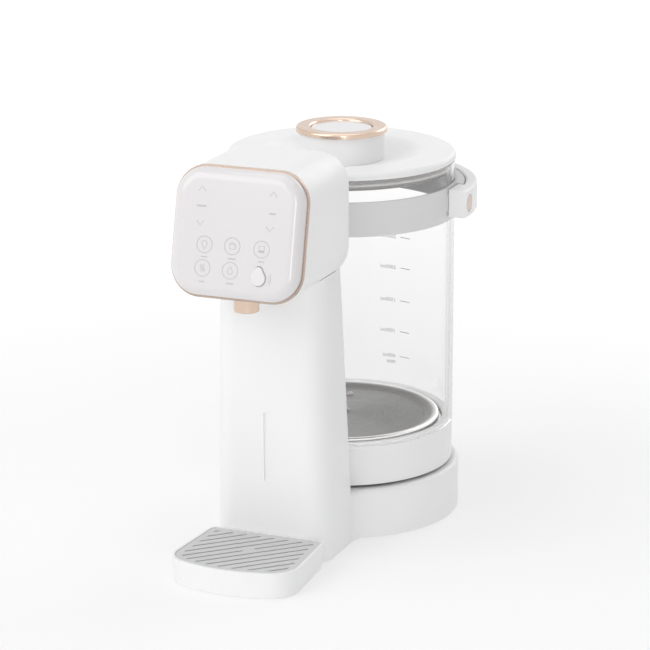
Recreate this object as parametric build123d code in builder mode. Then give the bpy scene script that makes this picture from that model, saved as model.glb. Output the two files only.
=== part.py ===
import os
from math import atan2, cos, degrees, radians, sin, sqrt, tan

from build123d import *

os.makedirs("parts", exist_ok=True)

# Formula water dispenser. x runs to the right, y to the back, z up, in millimetres.
# The origin is on the table, under the middle of the object's box.

# Clearances
running_gap = 0.3
seat_gap = 0.1
bearing_gap = 0.08
spring_gap = 0.1
seam_gap = 0.3

# Fasteners, bosses and springs
boss_radius = 4.0
boss_floor = 2.0
screw_shank = 1.15
screw_hole = screw_shank + seat_gap
screw_head = 2.8
screw_head_height = 1.9
flush_head_height = 1.1
cover_screw_length = 12.0
board_screw_length = 6.0
jug_screw_length = 12.0
jug_screw_head = 2.2
jug_screw_head_height = 1.5
jug_boss_radius = 3.4
jug_boss_height = 14.0
foot_boss_radius = 5.0

# Glass, which sets the size of the base, the jug and the lid across
glass_radius = 82.0
glass_wall = 2.0
glass_inside = glass_radius - glass_wall

# Base and the foot of the column
table_gap = 0.8
ring_step = 0.2
ring_radius = glass_radius - ring_step
ring_wall = 2.6
ring_gap = 0.2
base_flare = 5.2
base_radius = ring_radius + base_flare
base_top = 36.4
base_wall = 2.6
base_shoulder = 3.0
neck_radius = 18.0
well_inset = 7.8
well_radius = ring_radius - well_inset
well_depth = 5.0
well_floor = base_top - well_depth
cover_thickness = 2.4
cover_top = table_gap + cover_thickness
gland_height = 14.0
gland_bore = 3.0
gland_neck = 4.4
gland_flange = 6.8
gland_flange_thickness = 1.8
gland_length = 12.0
gland_sag = 0.4

# Head, a rounded square tube with a tilted front
head_half = 48.3
head_low = 202.6
head_height = 87.4
head_high = head_low + head_height
head_corner = 22.0
head_wall = 2.5
head_rear_round = 12.0
head_screw_shank = 1.4
head_screw_length = 11.0
head_boss_height = 9.0
face_tilt = 12.5

# Column, narrower and further forward at its top
column_lap = 9.4
column_top = head_low + column_lap
jug_room = 1.2
column_lean = 13.5
column_depth_low = 54.0
column_depth_high = 43.5
column_rear_low = ring_radius + jug_room
column_rear_high = column_rear_low + column_lean
column_front_low = column_rear_low + column_depth_low
column_front_high = column_rear_high + column_depth_high
column_half_low = 42.4
column_half_high = 39.0
column_corner = 15.0
column_rear_corner = 5.0
column_plate = 3.5
slot_width = 5.9
slot_low = 57.5
slot_length = 50.5
slot_high = slot_low + slot_length
slot_depth = 1.0
window_margin = 12.6
window_side = 9.0
window_half = column_half_high - window_side
window_low = base_top + window_margin
window_high = head_low - window_margin
window_lap = 2.5
window_lap_thickness = 1.6

# Feet, and the screws of the bottom cover
foot_radius = 7.5
foot_seat = 0.6
foot_chamfer = 0.5
rear_foot_inset = 15.0
front_foot_side = 14.4
front_foot_inset = 29.0
cover_screw_inset = 21.0
foot_screw_side = 6.9
foot_screw_inset = 13.0
rear_foot_reach = base_radius - rear_foot_inset
rear_foot_x = 40.0
front_foot_x = column_half_low - front_foot_side
front_foot_reach = column_front_low - front_foot_inset
cover_screw_reach = base_radius - cover_screw_inset
foot_screw_x = column_half_low - foot_screw_side
foot_screw_reach = column_front_low - foot_screw_inset

# Where the head and its panel lie, in front of the jug axis
head_step = 1.0
head_length = 85.1
head_screw_side = 11.0
head_rear = column_rear_high + head_step
face_reach = head_rear + head_length
head_screw_x = column_half_high - head_screw_side
head_screw_front = 9.0
head_screw_spacing = 15.0
rim_thickness = 2.0
rim_front = 0.5
rim_width = 4.5
panel_inset = 1.5
panel_front = 9.5
panel_round = 8.0
panel_wall = 2.2
board_gap = 9.3
board_thickness = 1.6
board_margin = 9.3
board_width = 2 * (head_half - board_margin)
board_height = 66.0
board_corner = 3.0
board_front = panel_front - panel_wall - board_gap
post_radius = 3.0
post_margin = 5.0
post_x = board_width / 2 - post_margin
post_y = board_height / 2 - post_margin
chip_width = 12.0
chip_length = 7.0
chip_depth = 4.0
chip_height = 1.6
display_width = 36.0
display_height = 20.0
display_up = 15.0

# Dispense button, a drop with its point up
button_x = 19.7
button_y = -27.7
button_radius = 5.2
button_point = 11.0
button_proud = 1.4
button_travel = 1.2
button_flange = 1.5
button_flange_thickness = 1.4
button_edge = 0.7
button_tip_round = 3.0
button_stem = 1.6
switch_height = 3.0
switch_width = 6.0
switch_case_height = 2.0
button_spring_radius = 5.2
button_spring_wire = 0.3

# Spout
spout_back = 10.0
spout_drop = 12.1
spout_reach = face_reach - spout_back
spout_radius = 8.7
spout_low = head_low - spout_drop
spout_flange = 12.0
spout_flange_thickness = 2.1
spout_lip = 1.6
spout_recess = 3.0
spout_edge = 0.6
spout_barb_length = 15.0
barb_radius = 2.5
barb_bore = 1.6

# Drip tray and grille
tray_depth = 79.5
tray_front = column_front_low + tray_depth
tray_half = 47.2
tray_back_half = 43.2
tray_high = 18.9
tray_low = 0.6
tray_bulge = 11.7
tray_corner = 20.0
tray_back_corner = 6.0
tray_draft = 3.5
tray_wall = 2.2
tray_rim = 1.6
tray_floor = 2.2
tray_ledge = 2.0
tray_skirt = 1.2
tongue_half = 28.0
tongue_length = 42.0
grille_thickness = 1.6
grille_drop = 0.4
grille_border = 4.5
grille_slot = 1.8
grille_pitch = 7.4
grille_slant = 45.0
grille_boss = 4.5
grille_boss_inset = 44.5
grille_boss_reach = tray_front - grille_boss_inset

# Jug: ring, glass and collar
ring_lift = 2.3
ring_height = 28.6
crest_height = 3.2
glass_height = 194.7
ring_low = base_top + ring_lift
ring_ledge = ring_low + ring_height
ring_crest = ring_ledge + crest_height
glass_top = ring_ledge + glass_height
glass_edge = 0.8
spigot_gap = 0.6
spigot_low = well_floor + running_gap
jug_cover_gap = 0.6
jug_cover_thickness = 2.5
jug_cover_rim = 2.0
jug_screw_inset = 3.0
jug_screw_reach = ring_radius - ring_wall - jug_screw_inset
collar_drop = 15.1
collar_height = 24.7
collar_wall = 1.6
collar_high = glass_top - collar_drop
collar_low = collar_high - collar_height
collar_radius = glass_radius + collar_wall
collar_gap = 0.15

# Heating plate, a shallow pan with a rolled edge that stands in the ring
pan_inset = 7.8
pan_lift = 0.7
pan_height = 3.0
pan_edge = 4.6
pan_slope = 6.2
plate_thickness = 1.0
plate_flange = 3.8
plate_drop = 2.0
lip_gap = 2.3
lip_height = 1.5
pan_radius = glass_inside - pan_inset
pan_floor = ring_ledge + pan_lift
plate_radius = pan_radius + plate_flange
plate_rim = pan_floor - plate_drop
lip_top = pan_floor + lip_height
seal_width = 1.5
seal_height = 1.0
probe_places = [(1.5, 6.0), (-10.0, 43.5)]
probe_radius = 1.9
probe_depth = 8.0
probe_proud = 2.4
probe_flange = 0.7
probe_flange_thickness = 0.8
probe_nut_height = 2.0
spreader_inset = 28.2
spreader_radius = pan_radius - spreader_inset
spreader_thickness = 3.5
element_inset = 14.0
element_ring = spreader_radius - element_inset
element_tube = 3.3
element_arc = 320.0
element_pin = 2.2
element_pin_length = 9.0

# Water valve in front of the jug axis
nozzle_radius = 5.0
nozzle_bore = 2.0
nozzle_height = 7.1
nozzle_top = well_floor + nozzle_height
nozzle_stem = 7.0
nozzle_barb_length = 9.0
nozzle_flange_thickness = 1.6
o_ring_wire = 1.0
o_ring_squeeze = 0.15
groove_top = 1.1
valve_bore = 6.4
valve_radius = 9.5
element_gap = 2.7
valve_reach = element_ring + element_tube + element_gap + valve_radius
valve_flange = 3.0
valve_flange_thickness = 1.8
cap_rebate = 0.8
valve_cap_thickness = 1.5
valve_cap_hole = 1.3
valve_cap_pitch = 4.4
gasket_thickness = 1.1
gasket_lip = 1.0
plate_hole = 7.2
valve_web_lift = 2.5
valve_web = nozzle_top + valve_web_lift
valve_web_thickness = 2.0
poppet_radius = 5.4
poppet_stem = 1.6
poppet_thickness = 2.2
poppet_guide = 4.0
poppet_play = 1.2
poppet_rise = 0.7
valve_spring_radius = 3.6
valve_spring_wire = 0.35

# Power socket on the jug axis
socket_radius = 14.2
socket_flange = 18.0
socket_flange_thickness = 1.5
socket_height = 9.1
socket_depth = 15.4
socket_bore_depth = 12.5
socket_top = well_floor + socket_height
socket_stem = 11.0
socket_low = well_floor - socket_depth
socket_bore = 2.6
socket_bore_low = socket_top - socket_bore_depth
connector_gap = 0.4
connector_wall = 5.4
connector_flange = 4.0
connector_top = 3.0
connector_pin = 1.8
connector_pin_length = 6.5
connector_room = 2.5
connector_roof = socket_top + connector_room

# Bail handle
pivot_back = 2.0
bail_gap = 5.5
bail_thickness = 8.4
bail_inner = collar_radius + bail_gap
bail_radius = bail_inner + bail_thickness
bail_half_height = 10.0
bail_round = 1.5
pivot_lift = 0.95
lug_gap = 0.9
pivot_z = (collar_low + collar_high) / 2 + pivot_lift
lug_inner = collar_radius + lug_gap
lug_front = 7.4
lug_back = 12.0
shelf_drop = 0.7
shelf_thickness = 2.5
shelf_front = 16.5
shelf_back = 60.0
shelf_high = pivot_z + bail_half_height - shelf_drop
shelf_radius = sqrt(bail_inner**2 - (shelf_high - pivot_z) ** 2) - running_gap
stub_radius = 4.0
stub_depth = 5.7
stub_end = bail_radius - stub_depth
pivot_pad = 9.0
pivot_screw_head_height = 1.8
cap_radius = 6.2
cap_thickness = 3.6
cap_recess = 0.3
cap_edge = 0.5

# Lid
lid_lip = 0.5
lid_rise = 5.2
lid_radius = glass_radius + lid_lip
lid_low = glass_top + running_gap
lid_high = glass_top + lid_rise
lid_wall = 2.4
lid_rim_wall = 3.3
lid_round = 2.0
lid_post = 7.0
dish_border = 21.0
dish_depth = 6.2
dish_radius = lid_radius - dish_border
dish_floor = lid_high - dish_depth
plug_gap = 1.0
plug_depth = 8.0
plug_radius = glass_inside - plug_gap
plug_low = glass_top - plug_depth
plug_wall = 0.8
seal_bead = 0.7
seal_step = 0.05
knob_radius = 30.8
knob_rise = 13.8
knob_high = lid_high + knob_rise
knob_wall = 2.4
knob_ring_lip = 2.2
knob_ring_width = 10.7
knob_ring_outer = knob_radius + knob_ring_lip
knob_ring_inner = knob_ring_outer - knob_ring_width
knob_ring_height = 3.8
knob_ring_round = 2.0
knob_disc_height = 2.2
knob_disc_round = 0.6
knob_gap = 0.2
knob_post = 6.5
knob_screw_shank = 1.9
knob_screw_head = 5.0
knob_screw_head_height = 2.0

# Pump and hoses
pump_x = -18.0
pump_inset = 27.0
pump_height = 14.0
motor_height = 30.0
pump_reach = column_front_low - pump_inset
pump_radius = 14.5
pump_low = 36.0
pump_high = pump_low + pump_height
motor_radius = 11.0
motor_high = pump_high + motor_height
motor_round = 1.5
motor_boss = 3.5
motor_boss_height = 2.0
pump_barb_length = 7.0
cradle_gap = 0.2
cradle_wall = 2.2
cradle_lap = 7.2
cradle_high = pump_low + cradle_lap
cradle_ledge = 3.0
cradle_way = 4.0
cradle_turn = -30.0
hose_radius = 3.6
hose_bore = barb_radius + seat_gap
hose_end_gap = 0.5
inlet_z = 14.0
inlet_lead = 20.0
inlet_bend = 12.0
pump_bend = 12.0
outlet_z = pump_low + pump_height / 2
riser_x = 12.0
riser_inset = 21.5
riser_height = 29.4
spout_hose_height = 37.4
outlet_bend = 9.0
riser_bend = 20.0
spout_bend = 14.0
riser_shift = 2.0
riser_reach = column_front_high - riser_inset
riser_top = head_low + riser_height
spout_hose_top = head_low + spout_hose_height
riser_slot_x = riser_x - riser_shift
riser_slot_reach = riser_reach - riser_shift
riser_slot_length = 26.0
riser_slot_width = 12.0

# Power board on posts in the base
power_board_low = 9.0
power_board_inset = 50.0
power_board_reach = base_radius - power_board_inset
power_board_width = 76.0
power_board_depth = 46.0
power_post_margin = 5.0
power_post_x = power_board_width / 2 - power_post_margin
power_post_y = power_board_depth / 2 - power_post_margin
power_post_radius = 2.8
transformer_width = 20.0
transformer_depth = 17.0
transformer_height = 13.0
capacitor_radius = 6.0
capacitor_height = 10.0
relay_width = 14.0
relay_depth = 8.0

# Places along y; the origin lies under the middle of the whole object
jug_y = (tray_front - pivot_back - bail_radius) / 2
jug_axis = Axis((0, jug_y, 0), (0, 0, 1))
valve_y = jug_y - valve_reach
valve_axis = Axis((0, valve_y, 0), (0, 0, 1))
pump_y = jug_y - pump_reach
spout_y = jug_y - spout_reach
pivot_y = jug_y + pivot_back
power_board_y = jug_y + power_board_reach


def save(piece, name):
    piece.part.label = name
    export_step(piece.part, f"parts/{name}.step")


def turned(points, axis):
    """Solid of revolution from a closed outline of (radius, height) points."""
    with BuildPart() as body:
        with BuildSketch(Plane(origin=axis.position, x_dir=(1, 0, 0), z_dir=(0, -1, 0))):
            with BuildLine():
                Polyline(*points, close=True)
            make_face()
        revolve(axis=axis)
    return body.part


def share_at(height):
    return (height - base_top) / (column_top - base_top)


def between(low, high, share):
    return low + (high - low) * share


def base_plan(height, inset):
    """Outline of the base: a disc that runs into the foot of the column."""
    neck_y = jug_y - sqrt(base_radius**2 - column_half_low**2)
    with BuildSketch(Plane.XY.offset(height)) as plan:
        with Locations((0, jug_y)):
            Circle(base_radius)
        with Locations((0, jug_y - column_front_low / 2)):
            Rectangle(2 * column_half_low, column_front_low)
        fillet(plan.vertices().group_by(Axis.Y)[0], column_corner)
        for side in (-1, 1):
            neck = plan.vertices().sort_by_distance((side * column_half_low, neck_y, height))[0]
            fillet(neck, neck_radius)
        if inset:
            offset(amount=-inset)
    return plan.sketch


def column_section(height, inset):
    """Rounded section of the column at a height, drawn in by an inset."""
    share = max(share_at(height), 0)
    half = between(column_half_low, column_half_high, share) - inset
    front = between(column_front_low, column_front_high, share) - inset
    rear = between(column_rear_low, column_rear_high, share) + inset
    with BuildSketch(Plane.XY.offset(height)) as section:
        with Locations((0, jug_y - (front + rear) / 2)):
            Rectangle(2 * half, front - rear)
        fillet(section.vertices().group_by(Axis.Y)[0], column_corner - inset)
        fillet(section.vertices().group_by(Axis.Y)[-1], column_rear_corner - inset)
    return section.sketch


def column_rear_slab(inset_out, inset_in, half, low, high):
    """Slab of the column's rear wall between two insets, inside a window."""
    with BuildPart() as slab:
        loft([column_section(base_top, inset_out), column_section(column_top, inset_out)])
        loft(
            [column_section(base_top, inset_in), column_section(column_top, inset_in)],
            mode=Mode.SUBTRACT,
        )
        with Locations((0, jug_y - column_rear_low, (low + high) / 2)):
            Box(2 * half, 2 * (column_rear_high - column_rear_low), high - low, mode=Mode.INTERSECT)
    return slab.part


def head_section(inset):
    """Rounded square of the head, on a plane across it at its rear."""
    with BuildSketch(Plane.XZ.offset(head_rear + inset - jug_y)) as section:
        with Locations((0, (head_low + head_high) / 2)):
            RectangleRounded(
                2 * (head_half - inset),
                head_high - head_low - 2 * inset,
                head_corner - inset,
            )
    return section.sketch


def head_block(inset):
    """Block of the head drawn in by an inset, longer than the head, with a rounded rear."""
    with BuildPart() as block:
        extrude(head_section(inset), amount=face_reach - head_rear + head_corner)
        fillet(block.faces().sort_by(Axis.Y)[-1].edges(), head_rear_round - inset)
    return block.part


tilt = radians(face_tilt)
face = Plane(
    origin=(0, jug_y - face_reach, (head_low + head_high) / 2),
    x_dir=(1, 0, 0),
    z_dir=(0, -cos(tilt), sin(tilt)),
)
face_half = (head_high - head_low) / 2 / cos(tilt)
face_corner = head_corner


def face_outline(height, inset):
    """Outline of the tilted front, drawn in by an inset."""
    with BuildSketch(face.offset(height)) as outline:
        RectangleRounded(2 * (head_half - inset), 2 * (face_half - inset), face_corner - inset)
    return outline.sketch


def pillow(inset, low, high, edge):
    """Block on the tilted front with rounded front edges."""
    with BuildPart() as block:
        extrude(face_outline(low, inset), amount=high - low)
        front_face = block.faces().sort_by(Axis(face.origin, face.z_dir))[-1]
        fillet(front_face.edges(), edge)
    return block.part


def drop_outline(height, grow):
    """Drop shape of the dispense button on the tilted front."""
    spread = button_radius + grow
    tip = button_point + grow
    # the two flanks leave the round part where they touch it
    touch = degrees(atan2(sqrt(tip**2 - spread**2), spread))
    right = (spread * sin(radians(touch)), spread * cos(radians(touch)))
    with BuildSketch(face.offset(height)) as outline:
        with BuildLine(Location((button_x, button_y))):
            ThreePointArc((-right[0], right[1]), (0, -spread), right)
            Line(right, (0, tip))
            Line((0, tip), (-right[0], right[1]))
        make_face()
        fillet(outline.vertices().sort_by(Axis.Y)[-1], button_tip_round)
    return outline.sketch


def tray_plan(height, inset):
    """Plan of the drip tray, with its convex front."""
    back = jug_y - column_front_low - running_gap
    front = jug_y - tray_front
    with BuildSketch(Plane.XY.offset(height)) as plan:
        with BuildLine():
            Line((-tray_back_half, back), (-tray_half, front + tray_bulge))
            ThreePointArc((-tray_half, front + tray_bulge), (0, front), (tray_half, front + tray_bulge))
            Line((tray_half, front + tray_bulge), (tray_back_half, back))
            Line((tray_back_half, back), (-tray_back_half, back))
        make_face()
        fillet(plan.vertices().group_by(Axis.Y)[-1], tray_back_corner)
        for side in (-1, 1):
            corner = plan.vertices().sort_by_distance((side * tray_half, front + tray_bulge, height))[0]
            fillet(corner, tray_corner)
        if inset:
            offset(amount=-inset)
    return plan.sketch


def coil(radius, wire, low, height, turns, plane):
    """Round wire wound on a helix that stands on a plane."""
    foot = plane.offset(low).origin
    with BuildPart() as spring:
        with BuildLine() as path:
            Helix(height / turns, height, radius, center=foot, direction=plane.z_dir)
        with BuildSketch(Plane(origin=path.line @ 0, z_dir=path.line % 0)):
            Circle(wire)
        sweep(is_frenet=True)
    return spring.part


def hose(points, radii):
    """Tube of hose along straight runs joined by tangent arcs."""
    with BuildPart() as tube:
        with BuildLine() as path:
            FilletPolyline(*points, radius=radii)
        with BuildSketch(Plane(origin=path.line @ 0, z_dir=path.line % 0)):
            Circle(hose_radius)
            Circle(hose_bore, mode=Mode.SUBTRACT)
        sweep()
    return tube.part


# Places of screws, feet and posts
cover_screw_places = [
    (cover_screw_reach * cos(radians(turn)), jug_y + cover_screw_reach * sin(radians(turn)))
    for turn in (45, 135, 225, 315)
]
foot_screw_places = [(side * foot_screw_x, jug_y - foot_screw_reach) for side in (-1, 1)]
rear_foot_y = jug_y + sqrt(rear_foot_reach**2 - rear_foot_x**2)
foot_places = [(side * rear_foot_x, rear_foot_y) for side in (-1, 1)]
foot_places += [(side * front_foot_x, jug_y - front_foot_reach) for side in (-1, 1)]
head_screw_places = [
    (side * head_screw_x, jug_y - column_front_high + head_screw_front + row * head_screw_spacing)
    for side in (-1, 1)
    for row in (0, 1)
]
board_post_places = [(x, y) for x in (-post_x, post_x) for y in (-post_y, post_y)]
power_board_places = [
    (x, power_board_y + y)
    for x in (-power_post_x, power_post_x)
    for y in (-power_post_y, power_post_y)
]
jug_screw_places = [
    (jug_screw_reach * cos(radians(turn)), jug_y + jug_screw_reach * sin(radians(turn)))
    for turn in (90, 210, 330)
]
probe_centres = [(x, jug_y + y) for x, y in probe_places]
riser_hole = (riser_slot_x, jug_y - riser_slot_reach)

# Base housing with the column
with BuildPart() as base_housing:
    extrude(base_plan(table_gap, 0), amount=base_top - table_gap)
    fillet(base_housing.faces().sort_by(Axis.Z)[-1].edges(), base_shoulder)
    extrude(column_section(table_gap, 0), amount=base_top - table_gap)
    loft([column_section(base_top, 0), column_section(column_top, 0)])
    extrude(
        base_plan(table_gap, base_wall),
        amount=base_top - base_wall - table_gap,
        mode=Mode.SUBTRACT,
    )
    extrude(column_section(table_gap, base_wall), amount=base_top - table_gap, mode=Mode.SUBTRACT)
    loft(
        [column_section(base_top, base_wall), column_section(head_low - column_plate, base_wall)],
        mode=Mode.SUBTRACT,
    )
    # well for the foot of the jug
    with BuildSketch(Plane.XY.offset(well_floor - base_wall)):
        with Locations((0, jug_y)):
            Circle(well_radius + base_wall)
    extrude(amount=base_top - base_wall - well_floor + base_wall)
    with BuildSketch(Plane.XY.offset(well_floor)):
        with Locations((0, jug_y)):
            Circle(well_radius)
    extrude(amount=well_depth, mode=Mode.SUBTRACT)
    # bosses for the screws of the bottom cover
    with BuildSketch(Plane.XY.offset(cover_top + seat_gap)):
        with Locations(*cover_screw_places):
            Circle(boss_radius)
    extrude(amount=well_floor - base_wall - cover_top - seat_gap)
    with BuildSketch(Plane.XY.offset(cover_top + seat_gap)):
        with Locations(*foot_screw_places):
            Circle(foot_boss_radius)
    extrude(amount=well_floor - base_wall - cover_top)
    with BuildSketch(Plane.XY.offset(cover_top)):
        with Locations(*cover_screw_places, *foot_screw_places):
            Circle(screw_hole)
    extrude(amount=cover_screw_length + boss_floor, mode=Mode.SUBTRACT)
    # seats of the power socket and the water nozzle
    with BuildSketch(Plane.XY.offset(well_floor - base_wall)):
        with Locations((0, jug_y)):
            Circle(socket_stem + seat_gap)
        with Locations((0, valve_y)):
            Circle(nozzle_stem + seat_gap)
    extrude(amount=base_wall, mode=Mode.SUBTRACT)
    # notch for the tray tongue
    with Locations((0, jug_y - column_front_low, table_gap)):
        Box(
            2 * (tongue_half + running_gap),
            3 * base_wall,
            cover_thickness + running_gap,
            align=(Align.CENTER, Align.CENTER, Align.MIN),
            mode=Mode.SUBTRACT,
        )
    # rear window of the column
    with Locations((0, jug_y - column_rear_low, (window_low + window_high) / 2)):
        Box(
            2 * window_half,
            2 * (column_rear_high - column_rear_low + base_wall),
            window_high - window_low,
            mode=Mode.SUBTRACT,
        )
    # the head lies in the top of the column
    add(head_block(-seam_gap), mode=Mode.SUBTRACT)
    with BuildSketch(Plane.XY.offset(head_low - column_plate)):
        with Locations(riser_hole):
            SlotOverall(riser_slot_length, riser_slot_width)
        with Locations(*head_screw_places):
            Circle(head_screw_shank + seat_gap)
    extrude(amount=2 * column_plate, mode=Mode.SUBTRACT)
    # recessed slot down the front of the column
    slot_mid = (slot_low + slot_high) / 2
    slot_lean = atan2(column_front_high - column_front_low, column_top - base_top)
    front_plane = Plane(
        origin=(0, jug_y - between(column_front_low, column_front_high, share_at(slot_mid)), slot_mid),
        x_dir=(1, 0, 0),
        z_dir=(0, -cos(slot_lean), -sin(slot_lean)),
    )
    with BuildSketch(front_plane):
        RectangleRounded(slot_width, slot_high - slot_low, slot_width / 4)
    extrude(amount=-slot_depth, mode=Mode.SUBTRACT)
    # passage for the cord gland
    with BuildSketch(Plane.XZ.offset(-(jug_y + base_radius - 2 * base_wall))):
        with Locations((0, gland_height)):
            Circle(gland_neck + seat_gap)
    extrude(amount=-4 * base_wall, mode=Mode.SUBTRACT)
save(base_housing, "base_housing")

# Bottom cover with the tongue that the tray slides on
with BuildPart() as base_cover:
    extrude(base_plan(table_gap, base_wall + seat_gap), amount=cover_thickness)
    with BuildSketch(Plane.XY.offset(table_gap)):
        with Locations((0, jug_y - column_front_low - tongue_length / 2 + base_wall)):
            Rectangle(2 * tongue_half, tongue_length + 2 * base_wall)
    extrude(amount=cover_thickness)
    with BuildSketch(Plane.XY.offset(table_gap)):
        with Locations(*cover_screw_places, *foot_screw_places):
            Circle(screw_shank + seat_gap)
    extrude(amount=cover_thickness, mode=Mode.SUBTRACT)
    with BuildSketch(Plane.XY.offset(table_gap)):
        with Locations(*cover_screw_places, *foot_screw_places):
            Circle(screw_head + seat_gap)
    extrude(amount=cover_thickness / 2, mode=Mode.SUBTRACT)
    # shallow seats for the feet
    with BuildSketch(Plane.XY.offset(table_gap)):
        with Locations(*foot_places):
            Circle(foot_radius + seat_gap)
    extrude(amount=foot_seat, mode=Mode.SUBTRACT)
    # posts of the power board
    with BuildSketch(Plane.XY.offset(cover_top)):
        with Locations(*power_board_places):
            Circle(power_post_radius)
            Circle(screw_hole, mode=Mode.SUBTRACT)
    extrude(amount=power_board_low - cover_top)
    # cradle of the pump, open towards the inlet hose
    with BuildSketch(Plane.XY.offset(cover_top)):
        with Locations((pump_x, pump_y)):
            Circle(pump_radius + cradle_gap + cradle_wall)
            Circle(pump_radius + cradle_gap, mode=Mode.SUBTRACT)
    extrude(amount=cradle_high - cover_top)
    with BuildSketch(Plane.XY.offset(pump_low - seat_gap - cradle_wall)):
        with Locations((pump_x, pump_y)):
            Circle(pump_radius + cradle_gap + cradle_wall)
            Circle(pump_radius - cradle_ledge, mode=Mode.SUBTRACT)
    extrude(amount=cradle_wall)
    cradle_outer = pump_radius + cradle_gap + cradle_wall
    with Locations(Location((pump_x, pump_y, cover_top), (0, 0, cradle_turn))):
        Box(
            2 * (hose_radius + cradle_way),
            2 * cradle_outer,
            inlet_z + hose_radius + cradle_way - cover_top,
            align=(Align.CENTER, Align.MIN, Align.MIN),
            mode=Mode.SUBTRACT,
        )
    # way out for the outlet barb
    with Locations((pump_x + pump_radius, pump_y, pump_low)):
        Box(
            4 * cradle_wall,
            2 * (hose_radius + seat_gap) + cradle_wall,
            cradle_high - pump_low,
            align=(Align.CENTER, Align.CENTER, Align.MIN),
            mode=Mode.SUBTRACT,
        )
save(base_cover, "base_cover")

with BuildPart() as rubber_feet:
    with BuildSketch():
        with Locations(*foot_places):
            Circle(foot_radius)
    extrude(amount=table_gap + foot_seat)
    chamfer(rubber_feet.faces().group_by(Axis.Z)[0].edges(), foot_chamfer)
save(rubber_feet, "rubber_feet")

with BuildPart() as cover_screws:
    head_seat = table_gap + cover_thickness / 2
    with BuildSketch(Plane.XY.offset(head_seat - flush_head_height)):
        with Locations(*cover_screw_places, *foot_screw_places):
            Circle(screw_head)
    extrude(amount=flush_head_height)
    with BuildSketch(Plane.XY.offset(head_seat)):
        with Locations(*cover_screw_places, *foot_screw_places):
            Circle(screw_shank)
    extrude(amount=cover_screw_length)
save(cover_screws, "cover_screws")

# Rear cover of the column, flush with its rear face
with BuildPart() as column_rear_cover:
    add(
        column_rear_slab(
            0, base_wall, window_half - seat_gap, window_low + seat_gap, window_high - seat_gap
        )
    )
    add(
        column_rear_slab(
            base_wall,
            base_wall + window_lap_thickness,
            window_half + window_lap,
            window_low - window_lap,
            window_high + window_lap,
        )
    )
save(column_rear_cover, "column_rear_cover")

# Cord gland in the back of the base
gland_y = jug_y + base_radius
gland_inner = gland_y - base_wall - gland_sag
with BuildPart() as cord_gland:
    with BuildSketch(Plane.XZ.offset(-(gland_inner - gland_flange_thickness))):
        with Locations((0, gland_height)):
            Circle(gland_neck)
    extrude(amount=-gland_length)
    with BuildSketch(Plane.XZ.offset(-(gland_y + seat_gap))):
        with Locations((0, gland_height)):
            Circle(gland_flange)
    extrude(amount=-gland_flange_thickness)
    with BuildSketch(Plane.XZ.offset(-(gland_inner - gland_flange_thickness))):
        with Locations((0, gland_height)):
            Circle(gland_flange)
    extrude(amount=-gland_flange_thickness)
    with BuildSketch(Plane.XZ.offset(-(gland_inner - gland_flange_thickness))):
        with Locations((0, gland_height)):
            Circle(gland_bore)
    extrude(amount=-gland_length, mode=Mode.SUBTRACT)
save(cord_gland, "cord_gland")

# Head shell
with BuildPart() as head_shell:
    add(head_block(0))
    split(bisect_by=face.offset(rim_front - rim_thickness), keep=Keep.BOTTOM)
    add(head_block(head_wall), mode=Mode.SUBTRACT)
    # bosses for the screws that come up from the column
    with BuildSketch(Plane.XY.offset(head_low + head_wall)):
        with Locations(*head_screw_places):
            Circle(boss_radius)
    extrude(amount=head_boss_height)
    with BuildSketch(Plane.XY.offset(head_low)):
        with Locations(*head_screw_places):
            Circle(head_screw_shank + seat_gap)
        with Locations(riser_hole):
            SlotOverall(riser_slot_length, riser_slot_width)
        with Locations((0, spout_y)):
            Circle(spout_radius + seat_gap)
    extrude(amount=head_wall + head_boss_height - boss_floor, mode=Mode.SUBTRACT)
save(head_shell, "head_shell")

with BuildPart() as head_screws:
    with BuildSketch(Plane.XY.offset(head_low - column_plate)):
        with Locations(*head_screw_places):
            Circle(screw_head)
    extrude(amount=-screw_head_height)
    with BuildSketch(Plane.XY.offset(head_low - column_plate)):
        with Locations(*head_screw_places):
            Circle(head_screw_shank)
    extrude(amount=head_screw_length)
save(head_screws, "head_screws")

# Rim and touch panel on the tilted front
with BuildPart() as panel_rim:
    extrude(face_outline(rim_front - rim_thickness, 0), amount=rim_thickness)
    extrude(
        face_outline(rim_front - rim_thickness, rim_width),
        amount=rim_thickness,
        mode=Mode.SUBTRACT,
    )
save(panel_rim, "panel_rim")

with BuildPart() as touch_panel:
    add(pillow(panel_inset, rim_front, panel_front, panel_round))
    add(
        pillow(
            panel_inset + panel_wall,
            rim_front,
            panel_front - panel_wall,
            panel_round - panel_wall,
        ),
        mode=Mode.SUBTRACT,
    )
    with BuildSketch(face.offset(board_front)):
        with Locations(*board_post_places):
            Circle(post_radius)
    extrude(amount=board_gap)
    with BuildSketch(face.offset(board_front)):
        with Locations(*board_post_places):
            Circle(screw_hole)
    extrude(amount=board_screw_length + seat_gap, mode=Mode.SUBTRACT)
    extrude(drop_outline(rim_front, running_gap), amount=panel_front + 1, mode=Mode.SUBTRACT)
save(touch_panel, "touch_panel")

with BuildPart() as control_board:
    with BuildSketch(face.offset(board_front - board_thickness)):
        RectangleRounded(board_width, board_height, board_corner)
        with Locations(*board_post_places):
            Circle(screw_shank + seat_gap, mode=Mode.SUBTRACT)
    extrude(amount=board_thickness)
    with BuildSketch(face.offset(board_front - board_thickness)):
        with Locations((-8.0, 6.0)):
            Rectangle(chip_width, chip_width)
        with Locations((14.0, 8.0), (-22.0, -12.0)):
            Rectangle(chip_length, chip_depth)
    extrude(amount=-chip_height)
save(control_board, "control_board")

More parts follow.
